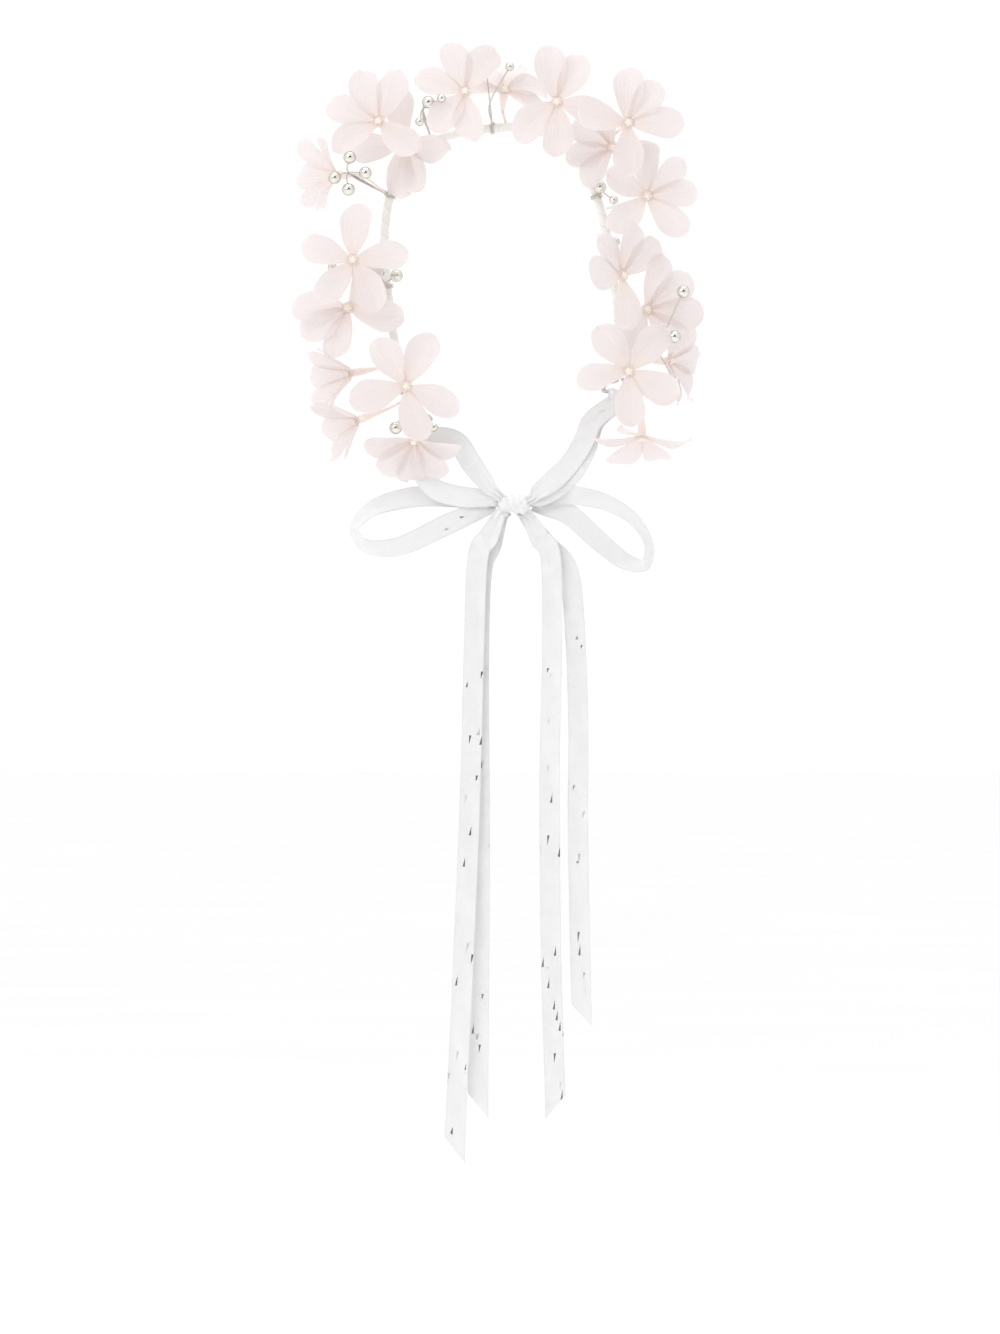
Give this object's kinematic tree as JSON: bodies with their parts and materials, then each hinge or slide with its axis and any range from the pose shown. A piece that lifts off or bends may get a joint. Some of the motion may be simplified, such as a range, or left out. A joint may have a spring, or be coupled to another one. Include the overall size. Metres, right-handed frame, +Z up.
{
  "type": "flower crown",
  "caption": "Wire headband ring with pale fabric flowers and pearl sprigs, closed by satin ribbons tied in a bow with long tails.",
  "frame": {"origin": "underside of the band's highest point, where the crown hangs", "axes": "+Z up through the crown's long direction, +X to the viewer's right, -Y to the crown's front"},
  "size_m": [0.2045, 0.0659, 0.5585],
  "materials": {
    "petal_fabric": "sheer heat-set cloth",
    "flower_plastic": "soft matt",
    "stem_tape": "waxed crepe paper tape",
    "wire": "annealed",
    "pearl_bead": "silvery pearl",
    "satin_ribbon": "satin"
  },
  "bodies": {
    "crown": {"bead_sprig_1": "pearl_bead", "bead_sprig_2": "pearl_bead", "bead_sprig_3": "pearl_bead", "bead_sprig_4": "pearl_bead", "bead_sprig_5": "pearl_bead", "bead_sprig_6": "pearl_bead", "bead_sprig_7": "pearl_bead", "bead_sprig_8": "pearl_bead", "bow_knot": "satin_ribbon", "bow_loop_left": "satin_ribbon", "bow_loop_right": "satin_ribbon", "flower_01_petals": "petal_fabric", "flower_01_stem": "flower_plastic", "flower_02_petals": "petal_fabric", "flower_02_stem": "flower_plastic", "flower_03_petals": "petal_fabric", "flower_03_stem": "flower_plastic", "flower_04_petals": "petal_fabric", "flower_04_stem": "flower_plastic", "flower_05_petals": "petal_fabric", "flower_05_stem": "flower_plastic", "flower_06_petals": "petal_fabric", "flower_06_stem": "flower_plastic", "flower_07_petals": "petal_fabric", "flower_07_stem": "flower_plastic", "flower_08_petals": "petal_fabric", "flower_08_stem": "flower_plastic", "flower_09_petals": "petal_fabric", "flower_09_stem": "flower_plastic", "flower_10_petals": "petal_fabric", "flower_10_stem": "flower_plastic", "flower_11_petals": "petal_fabric", "flower_11_stem": "flower_plastic", "flower_12_petals": "petal_fabric", "flower_12_stem": "flower_plastic", "flower_13_petals": "petal_fabric", "flower_13_stem": "flower_plastic", "flower_14_petals": "petal_fabric", "flower_14_stem": "flower_plastic", "flower_15_petals": "petal_fabric", "flower_15_stem": "flower_plastic", "flower_16_petals": "petal_fabric", "flower_16_stem": "flower_plastic", "flower_17_petals": "petal_fabric", "flower_17_stem": "flower_plastic", "flower_18_petals": "petal_fabric", "flower_18_stem": "flower_plastic", "flower_19_petals": "petal_fabric", "flower_19_stem": "flower_plastic", "flower_20_petals": "petal_fabric", "flower_20_stem": "flower_plastic", "ribbon_left": "satin_ribbon", "ribbon_right": "satin_ribbon", "stem_tape": "stem_tape", "wire_core": "wire"},
    "tail_1": {"ribbon_tail_1": "satin_ribbon"},
    "tail_2": {"ribbon_tail_2": "satin_ribbon"},
    "tail_3": {"ribbon_tail_3": "satin_ribbon"},
    "tail_4": {"ribbon_tail_4": "satin_ribbon"}
  },
  "joints": [
    {"name": "tail_1_swing", "type": "hinge", "parent": "crown", "child": "tail_1", "pos_m": [-0.01612, -0.006, -0.21357], "axis": [0, 1, 0], "range_deg": [-30, 30]},
    {"name": "tail_2_swing", "type": "hinge", "parent": "crown", "child": "tail_2", "pos_m": [-0.01412, -0.0022, -0.22057], "axis": [0, 1, 0], "range_deg": [-30, 30]},
    {"name": "tail_3_swing", "type": "hinge", "parent": "crown", "child": "tail_3", "pos_m": [0.02038, 0.0022, -0.21357], "axis": [0, 1, 0], "range_deg": [-30, 30]},
    {"name": "tail_4_swing", "type": "hinge", "parent": "crown", "child": "tail_4", "pos_m": [0.02938, 0.006, -0.22057], "axis": [0, 1, 0], "range_deg": [-30, 30]}
  ]
}
